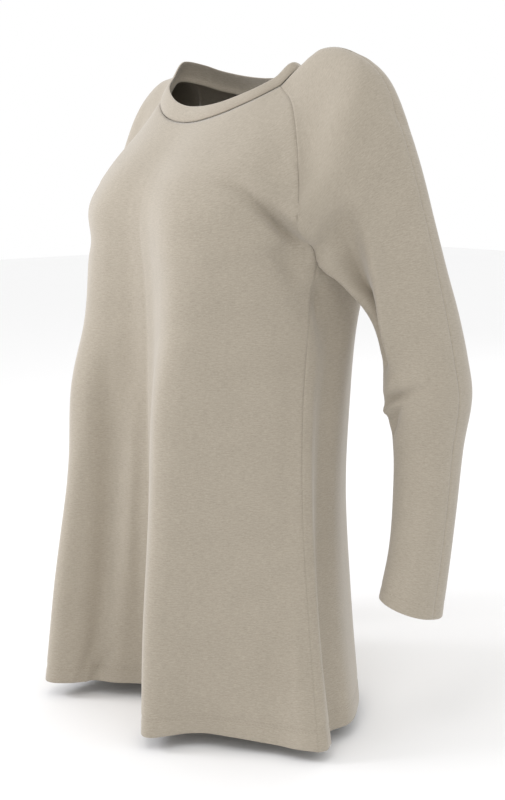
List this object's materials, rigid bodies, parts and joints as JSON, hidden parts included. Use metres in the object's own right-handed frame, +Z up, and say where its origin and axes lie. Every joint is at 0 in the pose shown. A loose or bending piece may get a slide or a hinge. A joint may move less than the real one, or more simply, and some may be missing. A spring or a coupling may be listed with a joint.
{
  "type": "a-line raglan top",
  "caption": "Hip-length A-line pullover top in soft jersey with long two-piece raglan sleeves and a round banded neck, in its worn, hollow form.",
  "frame": {"origin": "between the shoulders, level with the points where neck and shoulder meet", "axes": "+Z up along the body, the front faces -Y, the wearer's left arm is on +X"},
  "size_m": [0.5778, 0.3265, 0.7068],
  "materials": {
    "front": "fine beige jersey knit, matt",
    "back": "fine beige jersey knit, matt",
    "sleeve_front_left": "fine beige jersey knit, matt",
    "sleeve_back_left": "fine beige jersey knit, matt",
    "sleeve_front_right": "fine beige jersey knit, matt",
    "sleeve_back_right": "fine beige jersey knit, matt",
    "neckband": "fine beige jersey knit, matt"
  },
  "bodies": {
    "root": {"front": "front", "back": "back", "sleeve_front_left": "sleeve_front_left", "sleeve_back_left": "sleeve_back_left", "sleeve_front_right": "sleeve_front_right", "sleeve_back_right": "sleeve_back_right", "neckband": "neckband"}
  },
  "joints": []
}
